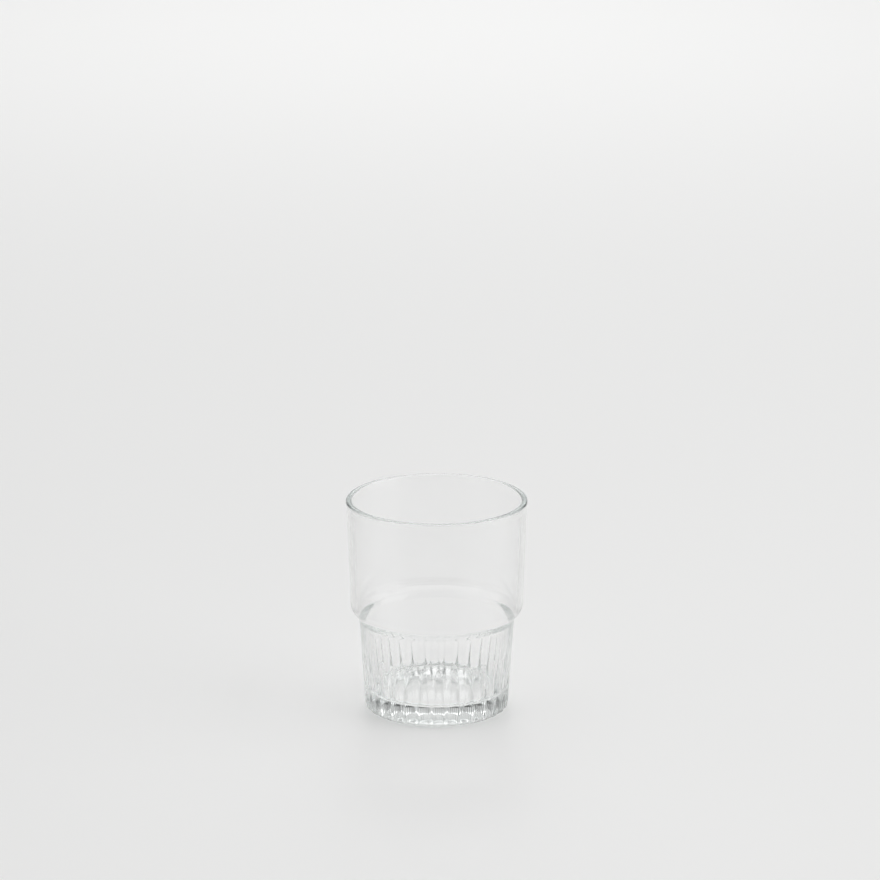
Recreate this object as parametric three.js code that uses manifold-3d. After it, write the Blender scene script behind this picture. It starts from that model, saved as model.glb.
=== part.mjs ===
// A clear stacking tumbler, pressed in one piece of glass: a smooth upper wall with a rounded rim,
// a stacking step, a narrower lower wall with flutes round it, and a thick foot with a hollow underside.
// Millimetres, +Z up, origin in the middle of the face that it stands on, +X through the middle of a flute.
import * as THREE from "three";
import { mergeVertices } from "three/addons/utils/BufferGeometryUtils.js";
import Module from "manifold-3d";

// Overall sizes
const HEIGHT = 86;
const RIM_DIAMETER = 72;

// Upper wall and rim
const UPPER_DRAFT = THREE.MathUtils.degToRad(1.8);
const UPPER_WALL = 2.4;
const RIM_THICKNESS = 2.3;
const RIM_BEAD = 0.25;
const RIM_BEAD_HEIGHT = 3.4;
const RIM_BEAD_FLARE = 1.8;
const RIM_ROUND = 1;

// Stacking step: the underside of the step rests on the rim of the glass below.
const STEP_HEIGHT = 41.1;
const STEP_DEPTH = 3.4;
const STEP_RISE = 3.5;
const STEP_ROUND = 5;
const NECK_ROUND = 2;
const LEDGE_DROP = 0.3;
const LEDGE_HOLLOW = 3;
const LEDGE_ROUND = 4.5;

// Lower wall, floor and foot
const LOWER_DRAFT = THREE.MathUtils.degToRad(3.9);
const LOWER_WALL = 2.7;
const FOOT_WALL = 3.4;
const FLOOR_THICKNESS = 7.4;
const FLOOR_ROUND = 2.4;
const FOOT_ROUND = 1.4;
const BEARING_WIDTH = 3.6;
const RECESS_DEPTH = 1.2;

// Flutes: depth and ridge at the foot, and the depth that is left where they end
const FLUTE_COUNT = 30;
const FLUTE_DEPTH = 1.3;
const FLUTE_TOP_DEPTH = 0.1;
const RIDGE_WIDTH = 0.5;
const PLAIN_BAND = 13;

// Fineness of the round shapes
const TURN_STEPS = FLUTE_COUNT * 3;
const ARC_STEP = THREE.MathUtils.degToRad(18);
const CUTTER_STEPS = 40;
const CUTTER_END_STEPS = 8;

const wasm = await Module();
wasm.setup();

/** A closed geometry as a solid that can be cut. */
function solidOf(geometry) {
  const bare = geometry.clone();
  bare.deleteAttribute("normal");
  bare.deleteAttribute("uv");
  const merged = mergeVertices(bare, 1e-4);
  return new wasm.Manifold(
    new wasm.Mesh({
      numProp: 3,
      vertProperties: merged.attributes.position.array,
      triVerts: new Uint32Array(merged.index.array),
    }),
  );
}

/** A solid as a geometry that a mesh can show. */
function geometryOf(solid) {
  const { vertProperties, triVerts } = solid.getMesh();
  const geometry = new THREE.BufferGeometry();
  geometry.setAttribute("position", new THREE.BufferAttribute(vertProperties, 3));
  geometry.setIndex(new THREE.BufferAttribute(triVerts, 1));
  geometry.computeVertexNormals();
  return geometry;
}

/** One corner of the glass's cross-section, at a radius and a height, with the radius that rounds it. */
function corner(radius, height, round = 0) {
  return { at: new THREE.Vector2(radius, height), round };
}

/** The points of an outline through the corners, with an arc at each rounded one. */
function roundedOutline(corners) {
  return corners.flatMap(({ at, round }, i) => {
    if (!round) return [at];
    const back = corners[i - 1].at.clone().sub(at).normalize();
    const onward = corners[i + 1].at.clone().sub(at).normalize();
    const half = back.angleTo(onward) / 2;
    const centre = back.clone().add(onward).setLength(round / Math.sin(half)).add(at);
    const start = back.clone().multiplyScalar(round / Math.tan(half)).add(at);
    const turn = (Math.PI - 2 * half) * Math.sign(onward.cross(back));
    const steps = Math.max(2, Math.ceil(Math.abs(turn) / ARC_STEP));
    return Array.from({ length: steps + 1 }, (_, k) =>
      start.clone().rotateAround(centre, (turn * k) / steps),
    );
  });
}

// The outside, worked out from the rim downwards
const rimRadius = RIM_DIAMETER / 2;
const wallTop = HEIGHT - RIM_BEAD_HEIGHT;
const wallTopRadius = rimRadius - RIM_BEAD;
const stepRadius = wallTopRadius - (wallTop - STEP_HEIGHT) * Math.tan(UPPER_DRAFT);
const neckRadius = stepRadius - STEP_DEPTH;
const neckHeight = STEP_HEIGHT - STEP_RISE;
const footRadius = neckRadius - neckHeight * Math.tan(LOWER_DRAFT);
const bearingInside = footRadius - FOOT_ROUND - BEARING_WIDTH;

/** Radius of the outside of the lower wall, before the flutes are cut. */
function lowerRadius(height) {
  return footRadius + height * Math.tan(LOWER_DRAFT);
}

/** The hollow of the underside: a shallow dome from the axis to the ring that the glass stands on. */
function recessCorners() {
  const domeRadius = (bearingInside ** 2 + RECESS_DEPTH ** 2) / (2 * RECESS_DEPTH);
  const domeAngle = Math.asin(bearingInside / domeRadius);
  return [0, 0.25, 0.5, 0.75, 1].map((share) => {
    const angle = share * domeAngle;
    return corner(domeRadius * Math.sin(angle), RECESS_DEPTH - domeRadius * (1 - Math.cos(angle)));
  });
}

/** The whole glass without its flutes, turned about its axis. */
function turnedGlass() {
  const outline = roundedOutline([
    ...recessCorners(),
    corner(footRadius, 0, FOOT_ROUND),
    corner(neckRadius, neckHeight, NECK_ROUND),
    corner(stepRadius, STEP_HEIGHT, STEP_ROUND),
    corner(wallTopRadius, wallTop),
    corner(rimRadius, wallTop + RIM_BEAD_FLARE),
    corner(rimRadius, HEIGHT, RIM_ROUND),
    corner(rimRadius - RIM_THICKNESS, HEIGHT, RIM_ROUND),
    corner(wallTopRadius - UPPER_WALL, wallTop),
    corner(stepRadius - UPPER_WALL, STEP_HEIGHT - LEDGE_DROP, LEDGE_HOLLOW),
    corner(neckRadius - LOWER_WALL, neckHeight - LEDGE_DROP, LEDGE_ROUND),
    corner(lowerRadius(FLOOR_THICKNESS) - FOOT_WALL, FLOOR_THICKNESS, FLOOR_ROUND),
    corner(0, FLOOR_THICKNESS),
  ]);
  const ridge = Math.PI / FLUTE_COUNT;
  return new THREE.LatheGeometry(outline, TURN_STEPS, ridge).rotateX(Math.PI / 2);
}

/** The leaning, round-ended bar that cuts one flute on the +X side, deepest at the foot. */
function fluteCutter() {
  const top = neckHeight - PLAIN_BAND;
  const width = (2 * Math.PI * footRadius) / FLUTE_COUNT - RIDGE_WIDTH;
  const radius = width ** 2 / (8 * FLUTE_DEPTH) + FLUTE_DEPTH / 2;
  const endHeight = top - Math.sqrt(radius ** 2 - (radius - FLUTE_TOP_DEPTH) ** 2);
  const footAxis = footRadius - FLUTE_DEPTH + radius;
  const endAxis = lowerRadius(endHeight) - FLUTE_TOP_DEPTH + radius;
  const lean = Math.atan2(endAxis - footAxis, endHeight);
  const length = endHeight / Math.cos(lean) + radius;
  return new THREE.CapsuleGeometry(radius, length, CUTTER_END_STEPS, CUTTER_STEPS)
    .rotateX(Math.PI / 2)
    .translate(0, 0, -length / 2)
    .rotateY(lean)
    .translate(endAxis, 0, endHeight);
}

/** The tumbler: the turned glass with the flutes cut all round its lower wall. */
function tumbler() {
  const cutter = solidOf(fluteCutter());
  let glass = solidOf(turnedGlass());
  for (let i = 0; i < FLUTE_COUNT; i++) {
    glass = glass.subtract(cutter.rotate([0, 0, (360 / FLUTE_COUNT) * i]));
  }
  const clearGlass = new THREE.MeshStandardMaterial({
    color: 0xe6efec,
    roughness: 0.04,
    metalness: 0,
    transparent: true,
    opacity: 0.35,
  });
  const mesh = new THREE.Mesh(geometryOf(glass), clearGlass);
  mesh.name = "tumbler";
  return mesh;
}

const glassware = new THREE.Group();
glassware.add(tumbler());

export default glassware;
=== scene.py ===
"""A clear pressed-glass stacking tumbler on a pale table, seen from the photograph's viewing angle.

Metres, +Z up. The glass stands on the origin. The camera and the studio are turned a few degrees
from -Y, so that the flutes stand in the picture as they do in the photograph.
"""
import math

import bmesh
import bpy
from mathutils import Matrix, Vector


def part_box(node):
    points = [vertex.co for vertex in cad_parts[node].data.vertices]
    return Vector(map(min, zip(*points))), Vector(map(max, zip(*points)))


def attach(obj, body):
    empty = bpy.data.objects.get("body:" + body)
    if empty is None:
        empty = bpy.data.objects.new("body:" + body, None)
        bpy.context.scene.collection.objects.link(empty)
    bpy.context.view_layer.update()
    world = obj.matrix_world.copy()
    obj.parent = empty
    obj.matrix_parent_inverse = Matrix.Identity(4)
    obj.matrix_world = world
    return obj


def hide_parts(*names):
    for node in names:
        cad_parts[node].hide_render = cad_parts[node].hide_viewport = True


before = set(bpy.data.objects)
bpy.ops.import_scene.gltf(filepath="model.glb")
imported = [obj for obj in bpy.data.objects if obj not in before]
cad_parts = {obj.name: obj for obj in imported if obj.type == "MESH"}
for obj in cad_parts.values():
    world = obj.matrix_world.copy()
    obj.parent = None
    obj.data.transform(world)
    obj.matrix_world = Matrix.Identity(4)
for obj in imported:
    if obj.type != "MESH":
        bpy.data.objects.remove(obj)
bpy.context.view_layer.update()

MM = 0.001

# Overall sizes, from the frame
glass_low, glass_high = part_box("tumbler")
HEIGHT = glass_high[2] - glass_low[2]
RIM_RADIUS = (glass_high[0] - glass_low[0]) / 2

# Upper wall and rim
UPPER_DRAFT = math.radians(1.8)
UPPER_WALL = 2.4 * MM
RIM_THICKNESS = 2.3 * MM
RIM_BEAD = 0.25 * MM
RIM_BEAD_HEIGHT = 3.4 * MM
RIM_BEAD_FLARE = 1.8 * MM
RIM_ROUND = 1.0 * MM
BEAD_ROUND = 4.0 * MM

# Stacking step
STEP_HEIGHT = 41.1 * MM
STEP_DEPTH = 3.4 * MM
STEP_RISE = 3.5 * MM
STEP_ROUND = 5.0 * MM
NECK_ROUND = 2.0 * MM
LEDGE_DROP = 0.3 * MM
LEDGE_HOLLOW = 3.0 * MM
LEDGE_ROUND = 4.5 * MM

# Lower wall, floor and foot
LOWER_DRAFT = math.radians(3.9)
LOWER_WALL = 2.7 * MM
FOOT_WALL = 3.4 * MM
FLOOR_THICKNESS = 7.4 * MM
FLOOR_ROUND = 2.4 * MM
FOOT_ROUND = 1.4 * MM
BEARING_WIDTH = 3.6 * MM
RECESS_DEPTH = 1.2 * MM

# Flutes: depth and ridge at the foot, and the depth that is left where they end
FLUTE_COUNT = 30
FLUTE_DEPTH = 1.3 * MM
FLUTE_TOP_DEPTH = 0.1 * MM
RIDGE_WIDTH = 0.5 * MM
RIDGE_ROUND = 0.1 * MM
PLAIN_BAND = 13.0 * MM

# Fineness of the round shapes
COLUMNS_PER_FLUTE = 16
ARC_STEP = math.radians(6)
LEAST_ARC_STEPS = 3
DOME_CUTS = 12
FLUTE_CUTS = 66
WELD_DISTANCE = 0.005 * MM
TABLE_SIDES = 96

# Camera, the turn of camera and studio about the glass, and the bounces that light may take
STUDIO_TURN = math.radians(4.14)
CAMERA_PLACE = Vector((1.3 * MM, -1593.1 * MM, 563.8 * MM))
CAMERA_TILT = math.radians(15.9)
SENSOR_WIDTH = 36.0
FOCAL_LENGTH = 171.8
LIGHT_BOUNCES = 48

# Glass: the tint is what is left of white light, and its density is how quickly it sets in
GLASS_IOR = 1.52
TINT_COLOUR = (0.82, 0.855, 0.845, 1)
TINT_DENSITY = 13.0

# Level ripples and an uneven skin, as noise with features of about 1 / scale metres
RIPPLE_SCALE = 240
RIPPLE_DETAIL = 1
RIPPLE_STRETCH = (0.2, 0.2, 1)
RIPPLE_HEIGHT = 0.02 * MM
SKIN_SCALE = 900
SKIN_DETAIL = 2
SKIN_HEIGHT = 0.001 * MM

# Scuffs: the heights between which they end, and how rough the noise makes them
SCUFF_TOP = (0.05 * MM, 0.3 * MM)
SCUFF_SCALE = 1500
SCUFF_DETAIL = 4
SCUFF_NOISE = (0.45, 0.65)
SCUFF_ROUGHNESS = (0.08, 0.35)

# Table
TABLE_RADIUS = 6.0
TABLE_GAP = 0.2 * MM
TABLE_COLOUR = (0.86, 0.86, 0.855, 1)
TABLE_ROUGHNESS = 0.4
TABLE_SHEEN = 0.25
GRAIN_SCALE = 700
GRAIN_DETAIL = 3
GRAIN_HEIGHT = 0.01 * MM

# Tent, where a level of 1 is white. A place is an azimuth and an elevation, and an edge holds the
# angles from it between which the level changes. Starts and ends are the elevations between
# which it changes. All angles are in degrees.
TENT_LEVEL = 0.86
BACK_LEVEL = 1.28
BACK_PLACE = (180, 65)
BACK_EDGE = (60, 15)
HORIZON_LEVEL = 1.1
GAP_LEVEL = 0.02
GAP_START = (3.8, 5)
GAP_END = (8, 12)
SKIRT_LEVEL = 0.75
SKIRT_END = (15, 50)
FLAG_LEVEL = 0.3
FLAG_PLACES = ((142, 16), (218, 16))
FLAG_EDGE = (24, 12)
OPENING_LEVEL = 0.03
OPENING_PLACE = (0, 12)
OPENING_EDGE = (60, 30)

# Lamps, and the watts per square metre that give a lamp a level of 1
KEY_PLACE = (80, 22)
KEY_DISTANCE = 1.6
KEY_SIZE = 1.4
KEY_LEVEL = 0.88
REAR_PLACE = Vector((-0.1, 1.6, 0.8))
REAR_SIZE = 0.9
REAR_LEVEL = 0.85
WHITE_LAMP_WATTS = 4

# Lengths that follow from the sizes
WALL_TOP = HEIGHT - RIM_BEAD_HEIGHT
WALL_RADIUS = RIM_RADIUS - RIM_BEAD
STEP_RADIUS = WALL_RADIUS - (WALL_TOP - STEP_HEIGHT) * math.tan(UPPER_DRAFT)
NECK_RADIUS = STEP_RADIUS - STEP_DEPTH
NECK_HEIGHT = STEP_HEIGHT - STEP_RISE
FOOT_RADIUS = NECK_RADIUS - NECK_HEIGHT * math.tan(LOWER_DRAFT)
RECESS_RADIUS = FOOT_RADIUS - FOOT_ROUND - BEARING_WIDTH
FLUTE_TOP = NECK_HEIGHT - PLAIN_BAND
FLUTE_PITCH = 2 * math.pi / FLUTE_COUNT


def lower_radius(height):
    """Outer radius of the lower wall, before the flutes are pressed."""
    return FOOT_RADIUS + height * math.tan(LOWER_DRAFT)


def wall_section():
    """Corners of the wall's section as (radius, height, round), from the underside to the floor."""
    floor_radius = lower_radius(FLOOR_THICKNESS) - FOOT_WALL
    return [
        (0, RECESS_DEPTH, 0),
        (RECESS_RADIUS, 0, 0),
        (FOOT_RADIUS, 0, FOOT_ROUND),
        (NECK_RADIUS, NECK_HEIGHT, NECK_ROUND),
        (STEP_RADIUS, STEP_HEIGHT, STEP_ROUND),
        (WALL_RADIUS, WALL_TOP, BEAD_ROUND),
        (RIM_RADIUS, WALL_TOP + RIM_BEAD_FLARE, RIM_ROUND),
        (RIM_RADIUS, HEIGHT, RIM_ROUND),
        (RIM_RADIUS - RIM_THICKNESS, HEIGHT, RIM_ROUND),
        (WALL_RADIUS - UPPER_WALL, WALL_TOP, BEAD_ROUND),
        (STEP_RADIUS - UPPER_WALL, STEP_HEIGHT - LEDGE_DROP, LEDGE_HOLLOW),
        (NECK_RADIUS - LOWER_WALL, NECK_HEIGHT - LEDGE_DROP, LEDGE_ROUND),
        (floor_radius, FLOOR_THICKNESS, FLOOR_ROUND),
        (0, FLOOR_THICKNESS, 0),
    ]


def half_corner(corners, i):
    """Half of the angle between the two sides that meet at a corner."""
    here = Vector(corners[i][:2])
    before = Vector(corners[i - 1][:2]) - here
    after = Vector(corners[i + 1][:2]) - here
    return before.angle(after) / 2


def draw_section(bm, corners):
    """Draws the section as a wire in the XZ plane, and rounds its corners."""
    points = [bm.verts.new((radius, 0, height)) for radius, height, _ in corners]
    sides = [bm.edges.new(pair) for pair in zip(points, points[1:])]
    for i, (_, _, round_radius) in enumerate(corners):
        if round_radius:
            half = half_corner(corners, i)
            bmesh.ops.bevel(
                bm,
                geom=[points[i]],
                affect="VERTICES",
                offset_type="OFFSET",
                offset=round_radius / math.tan(half),
                segments=max(LEAST_ARC_STEPS, math.ceil((math.pi - 2 * half) / ARC_STEP)),
                profile=0.5,
                material=-1,
            )
    bmesh.ops.subdivide_edges(bm, edges=sides[:1], cuts=DOME_CUTS)


def dome_underside(bm):
    """Bends the straight cone of the underside into a shallow dome."""
    for vert in bm.verts:
        radius = vert.co.x
        if radius < RECESS_RADIUS and vert.co.z < FLOOR_THICKNESS / 2:
            vert.co.z = RECESS_DEPTH * (1 - (radius / RECESS_RADIUS) ** 2)


def add_flute_rows(bm):
    """Divides the long lower side of the section, so that the flutes can be pressed into it."""
    def length_if_lower(edge):
        below = all(vert.co.z < NECK_HEIGHT for vert in edge.verts)
        outside = all(vert.co.x > RECESS_RADIUS + BEARING_WIDTH for vert in edge.verts)
        return edge.calc_length() if below and outside else 0

    side = max(bm.edges, key=length_if_lower)
    bmesh.ops.subdivide_edges(bm, edges=[side], cuts=FLUTE_CUTS)


def soften(first, second, blend):
    """The smaller of two lengths, with the change from one to the other rounded off."""
    overlap = max(blend - abs(first - second), 0) / blend
    return min(first, second) - overlap * overlap * blend / 4


def press_flute(bm):
    """Presses a leaning, round-ended bar into the lower wall on +X, deepest at the foot."""
    width = FOOT_RADIUS * FLUTE_PITCH - RIDGE_WIDTH
    bar = width ** 2 / (8 * FLUTE_DEPTH) + FLUTE_DEPTH / 2
    bar_end = FLUTE_TOP - math.sqrt(bar ** 2 - (bar - FLUTE_TOP_DEPTH) ** 2)
    for vert in bm.verts:
        radius = vert.co.xy.length
        height = vert.co.z
        if radius < RECESS_RADIUS or height > FLUTE_TOP:
            continue
        angle = math.atan2(vert.co.y, vert.co.x)
        wall = lower_radius(height)
        across = wall * math.sin(angle)
        depth = FLUTE_DEPTH + (FLUTE_TOP_DEPTH - FLUTE_DEPTH) * height / bar_end
        past_end = max(height - bar_end, 0)
        inside = bar ** 2 - across ** 2 - past_end ** 2
        pressed = (wall - depth + bar - math.sqrt(inside)) / math.cos(angle)
        vert.co.xy *= soften(radius, pressed, RIDGE_ROUND) / radius


def spin_about_axis(bm, angle, steps, copies=False):
    """Spins all that is drawn about the upright axis, as a wall or as turned copies."""
    bmesh.ops.spin(
        bm,
        geom=bm.verts[:] + bm.edges[:] + bm.faces[:],
        cent=(0, 0, 0),
        axis=(0, 0, 1),
        angle=angle,
        steps=steps,
        use_duplicate=copies,
    )


def add_object(name, data):
    """Adds an object with this data to the scene."""
    item = bpy.data.objects.new(name, data)
    bpy.context.scene.collection.objects.link(item)
    return item


def make_glass():
    """The whole glass: one flute's width of wall is spun and pressed, then repeated and closed."""
    bm = bmesh.new()
    draw_section(bm, wall_section())
    dome_underside(bm)
    add_flute_rows(bm)
    to_ridge = Matrix.Rotation(-FLUTE_PITCH / 2, 3, "Z")
    bmesh.ops.rotate(bm, cent=(0, 0, 0), matrix=to_ridge, verts=bm.verts)
    spin_about_axis(bm, FLUTE_PITCH, COLUMNS_PER_FLUTE)
    press_flute(bm)
    spin_about_axis(bm, FLUTE_PITCH * (FLUTE_COUNT - 1), FLUTE_COUNT - 1, copies=True)
    bmesh.ops.remove_doubles(bm, verts=bm.verts, dist=WELD_DISTANCE)
    bmesh.ops.recalc_face_normals(bm, faces=bm.faces)
    for face in bm.faces:
        face.smooth = True
    mesh = bpy.data.meshes.new("pressed_glass")
    bm.to_mesh(mesh)
    bm.free()
    return add_object("pressed_glass", mesh)


def node_material(name):
    """A new material, with its node tree and its surface shader."""
    material = bpy.data.materials.new(name)
    material.use_nodes = True
    tree = material.node_tree
    return material, tree, tree.nodes["Principled BSDF"]


def add_node(tree, kind, **settings):
    """Adds a node and sets its plain properties."""
    node = tree.nodes.new(kind)
    for name, value in settings.items():
        setattr(node, name, value)
    return node


def fade(tree, value, start, end, low, high):
    """Smooth change from low to high while value goes from start to end."""
    node = add_node(tree, "ShaderNodeMapRange", interpolation_type="SMOOTHSTEP")
    node.inputs["From Min"].default_value = start
    node.inputs["From Max"].default_value = end
    node.inputs["To Min"].default_value = low
    node.inputs["To Max"].default_value = high
    tree.links.new(value, node.inputs["Value"])
    return node.outputs["Result"]


def multiply(tree, first, second):
    """Product of two node outputs."""
    node = add_node(tree, "ShaderNodeMath", operation="MULTIPLY")
    tree.links.new(first, node.inputs[0])
    tree.links.new(second, node.inputs[1])
    return node.outputs["Value"]


def noise(tree, place, scale, detail, stretch=(1, 1, 1)):
    """Noise at a place, with features of about 1 / scale metres."""
    mapping = add_node(tree, "ShaderNodeMapping")
    mapping.inputs["Scale"].default_value = stretch
    texture = add_node(tree, "ShaderNodeTexNoise")
    texture.inputs["Scale"].default_value = scale
    texture.inputs["Detail"].default_value = detail
    tree.links.new(place, mapping.inputs["Vector"])
    tree.links.new(mapping.outputs["Vector"], texture.inputs["Vector"])
    return texture.outputs["Fac"]


def bump(tree, height, distance, under=None):
    """Bump from a height map, on top of another bump if one is given."""
    node = add_node(tree, "ShaderNodeBump")
    node.inputs["Distance"].default_value = distance
    tree.links.new(height, node.inputs["Height"])
    if under:
        tree.links.new(under, node.inputs["Normal"])
    return node.outputs["Normal"]


def clear_glass():
    """Clear pressed glass: level ripples, an uneven skin and a scuffed ring where it stands."""
    material, tree, shader = node_material("clear_pressed_glass")
    shader.inputs["Base Color"].default_value = (1, 1, 1, 1)
    shader.inputs["Transmission Weight"].default_value = 1
    shader.inputs["IOR"].default_value = GLASS_IOR
    place = add_node(tree, "ShaderNodeTexCoord").outputs["Object"]
    axes = add_node(tree, "ShaderNodeSeparateXYZ")
    tree.links.new(place, axes.inputs["Vector"])

    waves = noise(tree, place, RIPPLE_SCALE, RIPPLE_DETAIL, RIPPLE_STRETCH)
    ripple = bump(tree, waves, RIPPLE_HEIGHT)
    skin = bump(tree, noise(tree, place, SKIN_SCALE, SKIN_DETAIL), SKIN_HEIGHT, under=ripple)
    tree.links.new(skin, shader.inputs["Normal"])

    touching = fade(tree, axes.outputs["Z"], *SCUFF_TOP, 1, 0)
    scratches = noise(tree, place, SCUFF_SCALE, SCUFF_DETAIL)
    scuffs = fade(tree, scratches, *SCUFF_NOISE, *SCUFF_ROUGHNESS)
    tree.links.new(multiply(tree, touching, scuffs), shader.inputs["Roughness"])

    tint = add_node(tree, "ShaderNodeVolumeAbsorption")
    tint.inputs["Color"].default_value = TINT_COLOUR
    tint.inputs["Density"].default_value = TINT_DENSITY
    tree.links.new(tint.outputs["Volume"], tree.nodes["Material Output"].inputs["Volume"])
    return material


def table_paper():
    """Pale satin paper with a barely visible grain."""
    material, tree, shader = node_material("table_paper")
    shader.inputs["Base Color"].default_value = TABLE_COLOUR
    shader.inputs["Roughness"].default_value = TABLE_ROUGHNESS
    shader.inputs["Specular IOR Level"].default_value = TABLE_SHEEN
    place = add_node(tree, "ShaderNodeTexCoord").outputs["Object"]
    grain = bump(tree, noise(tree, place, GRAIN_SCALE, GRAIN_DETAIL), GRAIN_HEIGHT)
    tree.links.new(grain, shader.inputs["Normal"])
    return material


def make_table():
    """A wide round table top, just under the foot."""
    bm = bmesh.new()
    bmesh.ops.create_circle(bm, cap_ends=True, segments=TABLE_SIDES, radius=TABLE_RADIUS)
    bmesh.ops.translate(bm, vec=(0, 0, -TABLE_GAP), verts=bm.verts)
    mesh = bpy.data.meshes.new("table_top")
    bm.to_mesh(mesh)
    bm.free()
    mesh.materials.append(table_paper())
    return add_object("table_top", mesh)


def direction(azimuth, elevation):
    """Unit vector to a place: azimuth 0 is the camera's side, and 90 is on its right."""
    side = math.radians(azimuth) + STUDIO_TURN
    rise = math.radians(elevation)
    reach = math.cos(rise)
    return Vector((reach * math.sin(side), -reach * math.cos(side), math.sin(rise)))


def light_tent():
    """A pale tent, brighter high behind the glass, dimmer low down and with a dark gap all round.

    Two grey flags behind the glass draw its side edges, and the tent is dark round the camera.
    """
    world = bpy.data.worlds.new("studio")
    bpy.context.scene.world = world
    world.use_nodes = True
    tree = world.node_tree
    view = add_node(tree, "ShaderNodeTexCoord").outputs["Generated"]
    axes = add_node(tree, "ShaderNodeSeparateXYZ")
    tree.links.new(view, axes.inputs["Vector"])

    def near_to(place, edge, outside, inside):
        """Change of level from outside to inside an edge round a place."""
        nearness = add_node(tree, "ShaderNodeVectorMath", operation="DOT_PRODUCT")
        nearness.inputs[1].default_value = direction(*place)
        tree.links.new(view, nearness.inputs[0])
        outer, inner = (math.cos(math.radians(angle)) for angle in edge)
        return fade(tree, nearness.outputs["Value"], outer, inner, outside, inside)

    def rising(elevations, below, above):
        """Change of level from below to above two elevations."""
        start, end = (math.sin(math.radians(elevation)) for elevation in elevations)
        return fade(tree, axes.outputs["Z"], start, end, below, above)

    in_gap = multiply(tree, rising(GAP_START, 0, 1), rising(GAP_END, 1, 0))
    changes = [
        fade(tree, in_gap, 0, 1, 1, GAP_LEVEL),
        rising(SKIRT_END, SKIRT_LEVEL, 1),
        rising(GAP_START, HORIZON_LEVEL, 1),
        near_to(OPENING_PLACE, OPENING_EDGE, 1, OPENING_LEVEL),
        *(near_to(place, FLAG_EDGE, 1, FLAG_LEVEL) for place in FLAG_PLACES),
    ]
    level = near_to(BACK_PLACE, BACK_EDGE, TENT_LEVEL, BACK_LEVEL)
    for change in changes:
        level = multiply(tree, level, change)
    tree.links.new(level, tree.nodes["Background"].inputs["Strength"])
    tree.nodes["Background"].inputs["Color"].default_value = (1, 1, 1, 1)


def add_lamp(name, size, level):
    """A square lamp of this size and level, which shines down until it is turned."""
    light = bpy.data.lights.new(name, "AREA")
    light.shape = "SQUARE"
    light.size = size
    light.energy = level * WHITE_LAMP_WATTS * size ** 2
    return add_object(name, light)


def hang_lamps():
    """A large soft key light on the right, and a soft lamp over the table behind the glass."""
    key = add_lamp("key", KEY_SIZE, KEY_LEVEL)
    key.location = direction(*KEY_PLACE) * KEY_DISTANCE
    key.rotation_euler = key.location.to_track_quat("Z", "Y").to_euler()
    rear = add_lamp("rear", REAR_SIZE, REAR_LEVEL)
    rear.location = REAR_PLACE


def place_camera():
    """The camera at the photograph's viewing angle, turned with the studio."""
    lens = bpy.data.cameras.new("camera")
    lens.sensor_width = SENSOR_WIDTH
    lens.lens = FOCAL_LENGTH
    camera = add_object("camera", lens)
    camera.location = Matrix.Rotation(STUDIO_TURN, 3, "Z") @ CAMERA_PLACE
    camera.rotation_euler = (math.pi / 2 - CAMERA_TILT, 0, STUDIO_TURN)
    bpy.context.scene.camera = camera


def set_light_paths():
    """Lets light pass through as many glass surfaces as the rim and the flutes need."""
    cycles = bpy.context.scene.cycles
    cycles.max_bounces = LIGHT_BOUNCES
    cycles.transmission_bounces = LIGHT_BOUNCES
    cycles.glossy_bounces = LIGHT_BOUNCES
    cycles.blur_glossy = 0


glass = make_glass()
glass.data.materials.append(clear_glass())
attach(glass, "root")
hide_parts("tumbler")

make_table()
light_tent()
hang_lamps()
place_camera()
set_light_paths()
bpy.context.scene.view_settings.view_transform = "Standard"
